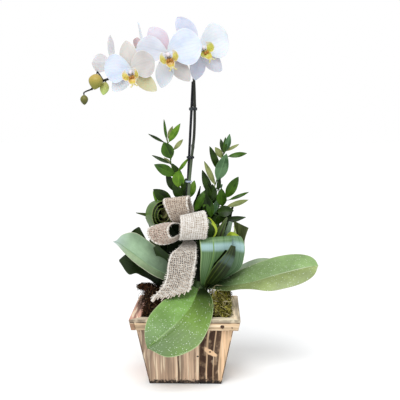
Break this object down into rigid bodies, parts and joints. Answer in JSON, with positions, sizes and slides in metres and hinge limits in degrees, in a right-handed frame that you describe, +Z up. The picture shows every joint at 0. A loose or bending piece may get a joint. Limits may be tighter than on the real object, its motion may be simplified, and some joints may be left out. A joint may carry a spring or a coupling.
{
  "type": "potted orchid",
  "caption": "Moth orchid in bloom in a square tapered wooden planter, its arching flower spike clipped to a stake, dressed with moss, leafy sprays, looped leaves and a burlap bow",
  "frame": {"origin": "centre of the flat underside of the planter, on the surface that it stands on", "axes": "+Z up along the planter's own upright axis; -Y the front, the side with the front leaf and the bow's tail; +X to the right when facing the front"},
  "size_m": [0.3781, 0.2231, 0.5793],
  "materials": {
    "torched_wood": "rough sawn, charred along the edges",
    "soil": "loose damp bark mix",
    "moss_brown": "dry matted moss",
    "moss_olive": "dry matted moss with pale strands",
    "orchid_leaf": "waxy",
    "spike_green": "smooth plant stem",
    "stake_black": "satin coat",
    "clip_blue": "moulded",
    "petal_white": "soft, with a faint sheen",
    "lip_yellow": "waxy",
    "bud_green": "smooth",
    "ruscus_green": "glossy leaf",
    "loop_green": "glossy leaf with fine ribs",
    "strip_green": "glossy leaf with fine ribs",
    "burlap": "coarse open weave with frayed edges"
  },
  "bodies": {
    "root": {"wall_front_a": "torched_wood", "wall_front_b": "torched_wood", "wall_right_a": "torched_wood", "wall_right_b": "torched_wood", "wall_back_a": "torched_wood", "wall_back_b": "torched_wood", "wall_left_a": "torched_wood", "wall_left_b": "torched_wood", "batten_front": "torched_wood", "batten_right": "torched_wood", "batten_back": "torched_wood", "batten_left": "torched_wood", "cap_front": "torched_wood", "cap_right": "torched_wood", "cap_back": "torched_wood", "cap_left": "torched_wood", "bottom_board": "torched_wood", "potting_mix": "soil", "moss_left": "moss_brown", "moss_right": "moss_olive", "orchid_leaves": "orchid_leaf", "flower_spike": "spike_green", "stake": "stake_black", "clip_top": "clip_blue", "clip_middle": "clip_blue", "stem_tie": "clip_blue", "bloom_a": "petal_white", "bloom_b": "petal_white", "bloom_c": "petal_white", "bloom_d": "petal_white", "bloom_e": "petal_white", "lip_a": "lip_yellow", "lip_b": "lip_yellow", "lip_c": "lip_yellow", "lip_d": "lip_yellow", "lip_e": "lip_yellow", "bud_a": "bud_green", "bud_b": "bud_green", "bud_c": "bud_green", "ruscus_left": "ruscus_green", "ruscus_right": "ruscus_green", "ruscus_side": "ruscus_green", "leaf_loop_front": "loop_green", "leaf_loop_right": "loop_green", "leaf_loop_back": "loop_green", "leaf_fold": "strip_green", "leaf_tip": "strip_green", "leaf_end_right": "strip_green", "leaf_end_left": "strip_green", "leaf_strip_low": "strip_green", "leaf_strip_back": "strip_green", "rolled_leaf": "strip_green", "burlap_bow": "burlap"}
  },
  "joints": []
}
